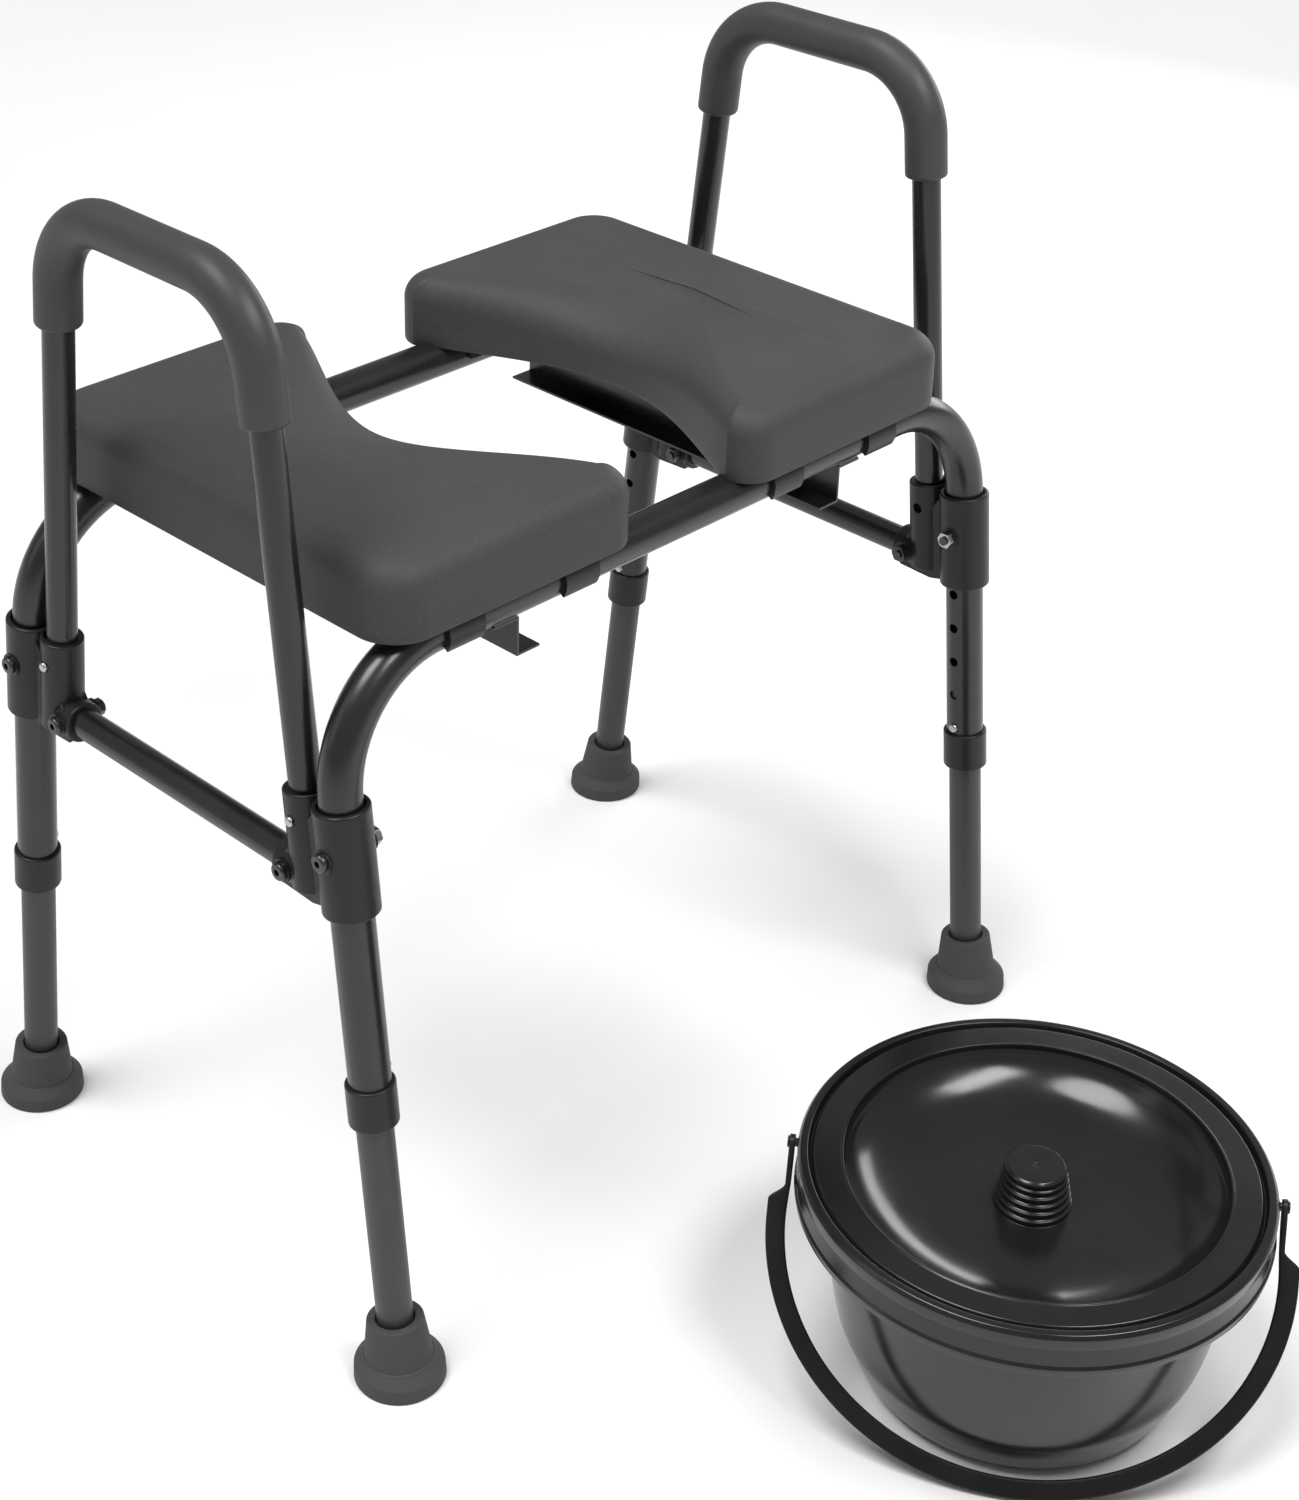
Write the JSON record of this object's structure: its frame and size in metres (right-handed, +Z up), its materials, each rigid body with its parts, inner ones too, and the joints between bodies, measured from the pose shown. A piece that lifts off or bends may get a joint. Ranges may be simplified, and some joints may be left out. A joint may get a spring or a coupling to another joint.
{
  "type": "commode chair",
  "caption": "Black height-adjustable commode chair with a split padded seat, two side handles, pail rails and a lidded pail standing in front.",
  "frame": {"origin": "middle of the whole set's box, chair and pail, on the floor", "axes": "+Z up; the chair's front faces -Y; the sitter's left is +X"},
  "size_m": [0.609, 0.797, 0.684],
  "materials": {
    "tube_paint": "satin",
    "connector_plastic": "satin",
    "pad_foam": "matte",
    "board": "matte",
    "grip_rubber": "satin",
    "foot_rubber": "matte",
    "bright_steel": "polished",
    "black_steel": "satin",
    "spring_steel": "satin",
    "pail_plastic": "gloss"
  },
  "bodies": {
    "frame": {"front_rail_tube": "tube_paint", "rear_rail_tube": "tube_paint", "connector_front_left": "connector_plastic", "connector_front_right": "connector_plastic", "connector_back_left": "connector_plastic", "connector_back_right": "connector_plastic", "leg_collar_front_left": "connector_plastic", "leg_collar_front_right": "connector_plastic", "leg_collar_back_left": "connector_plastic", "leg_collar_back_right": "connector_plastic", "sleeve_bolts": "black_steel", "brace_bolts": "black_steel", "sleeve_nuts": "bright_steel", "brace_nuts": "black_steel", "side_brace_left": "tube_paint", "pail_rail_left": "tube_paint", "side_brace_right": "tube_paint", "pail_rail_right": "tube_paint", "rail_welds": "tube_paint", "pad_foam_left": "pad_foam", "pad_board_left": "board", "pad_clips_left": "connector_plastic", "clip_screws_left": "bright_steel", "pad_foam_right": "pad_foam", "pad_board_right": "board", "pad_clips_right": "connector_plastic", "clip_screws_right": "bright_steel"},
    "leg_front_left": {"inner_leg_front_left": "tube_paint", "foot_front_left": "foot_rubber", "foot_washer_front_left": "bright_steel", "leg_spring_front_left": "spring_steel"},
    "leg_button_front_left": {"leg_button_front_left": "bright_steel"},
    "leg_front_right": {"inner_leg_front_right": "tube_paint", "foot_front_right": "foot_rubber", "foot_washer_front_right": "bright_steel", "leg_spring_front_right": "spring_steel"},
    "leg_button_front_right": {"leg_button_front_right": "bright_steel"},
    "leg_back_left": {"inner_leg_back_left": "tube_paint", "foot_back_left": "foot_rubber", "foot_washer_back_left": "bright_steel", "leg_spring_back_left": "spring_steel"},
    "leg_button_back_left": {"leg_button_back_left": "bright_steel"},
    "leg_back_right": {"inner_leg_back_right": "tube_paint", "foot_back_right": "foot_rubber", "foot_washer_back_right": "bright_steel", "leg_spring_back_right": "spring_steel"},
    "leg_button_back_right": {"leg_button_back_right": "bright_steel"},
    "handle_left": {"handle_tube_left": "tube_paint", "handle_grip_left": "grip_rubber", "handle_springs_left": "spring_steel"},
    "handle_button_front_left": {"handle_button_front_left": "bright_steel"},
    "handle_button_back_left": {"handle_button_back_left": "bright_steel"},
    "handle_right": {"handle_tube_right": "tube_paint", "handle_grip_right": "grip_rubber", "handle_springs_right": "spring_steel"},
    "handle_button_front_right": {"handle_button_front_right": "bright_steel"},
    "handle_button_back_right": {"handle_button_back_right": "bright_steel"},
    "pail": {"pail": "pail_plastic"},
    "pail_lid": {"pail_lid": "pail_plastic"},
    "pail_bail": {"pail_bail": "pail_plastic"}
  },
  "joints": [
    {"name": "leg_slide_front_left", "type": "slide", "parent": "frame", "child": "leg_front_left", "axis": [0, 0.1045, 0.9945], "range_m": [0, 0.1016], "deforming": ["leg_spring_front_left", "leg_button_front_left"]},
    {"name": "leg_button_press_front_left", "type": "slide", "parent": "leg_front_left", "child": "leg_button_front_left", "axis": [1, 0, 0], "range_m": [0, 0.0042], "stiffness_N_per_m": 900, "springref_m": -0.001, "deforming": ["leg_spring_front_left"]},
    {"name": "leg_slide_front_right", "type": "slide", "parent": "frame", "child": "leg_front_right", "axis": [0, 0.1045, 0.9945], "range_m": [0, 0.1016], "deforming": ["leg_spring_front_right", "leg_button_front_right"]},
    {"name": "leg_button_press_front_right", "type": "slide", "parent": "leg_front_right", "child": "leg_button_front_right", "axis": [-1, 0, 0], "range_m": [0, 0.0042], "stiffness_N_per_m": 900, "springref_m": -0.001, "deforming": ["leg_spring_front_right"]},
    {"name": "leg_slide_back_left", "type": "slide", "parent": "frame", "child": "leg_back_left", "axis": [0, -0.1045, 0.9945], "range_m": [0, 0.1016], "deforming": ["leg_spring_back_left", "leg_button_back_left"]},
    {"name": "leg_button_press_back_left", "type": "slide", "parent": "leg_back_left", "child": "leg_button_back_left", "axis": [1, 0, 0], "range_m": [0, 0.0042], "stiffness_N_per_m": 900, "springref_m": -0.001, "deforming": ["leg_spring_back_left"]},
    {"name": "leg_slide_back_right", "type": "slide", "parent": "frame", "child": "leg_back_right", "axis": [0, -0.1045, 0.9945], "range_m": [0, 0.1016], "deforming": ["leg_spring_back_right", "leg_button_back_right"]},
    {"name": "leg_button_press_back_right", "type": "slide", "parent": "leg_back_right", "child": "leg_button_back_right", "axis": [-1, 0, 0], "range_m": [0, 0.0042], "stiffness_N_per_m": 900, "springref_m": -0.001, "deforming": ["leg_spring_back_right"]},
    {"name": "handle_lift_left", "type": "slide", "parent": "frame", "child": "handle_left", "axis": [0, 0, 1], "range_m": [0, 0.05], "deforming": ["handle_springs_left", "handle_button_front_left", "handle_button_back_left"]},
    {"name": "handle_button_press_front_left", "type": "slide", "parent": "handle_left", "child": "handle_button_front_left", "axis": [-1, 0, 0], "range_m": [0, 0.006], "stiffness_N_per_m": 900, "springref_m": -0.001, "deforming": ["handle_springs_left"]},
    {"name": "handle_button_press_back_left", "type": "slide", "parent": "handle_left", "child": "handle_button_back_left", "axis": [-1, 0, 0], "range_m": [0, 0.006], "stiffness_N_per_m": 900, "springref_m": -0.001, "deforming": ["handle_springs_left"]},
    {"name": "handle_lift_right", "type": "slide", "parent": "frame", "child": "handle_right", "axis": [0, 0, 1], "range_m": [0, 0.05], "deforming": ["handle_springs_right", "handle_button_front_right", "handle_button_back_right"]},
    {"name": "handle_button_press_front_right", "type": "slide", "parent": "handle_right", "child": "handle_button_front_right", "axis": [1, 0, 0], "range_m": [0, 0.006], "stiffness_N_per_m": 900, "springref_m": -0.001, "deforming": ["handle_springs_right"]},
    {"name": "handle_button_press_back_right", "type": "slide", "parent": "handle_right", "child": "handle_button_back_right", "axis": [1, 0, 0], "range_m": [0, 0.006], "stiffness_N_per_m": 900, "springref_m": -0.001, "deforming": ["handle_springs_right"]},
    {"name": "pail_lift", "type": "slide", "parent": "frame", "child": "pail", "axis": [0, 0, 1], "range_m": [0, 0.3]},
    {"name": "lid_lift", "type": "slide", "parent": "pail", "child": "pail_lid", "axis": [0, 0, 1], "range_m": [0, 0.12]},
    {"name": "bail_swing", "type": "hinge", "parent": "pail", "child": "pail_bail", "pos_m": [-0.0016, -0.2475, 0.143], "axis": [-0.5664, 0.8241, 0], "range_deg": [0, 282.8]}
  ]
}
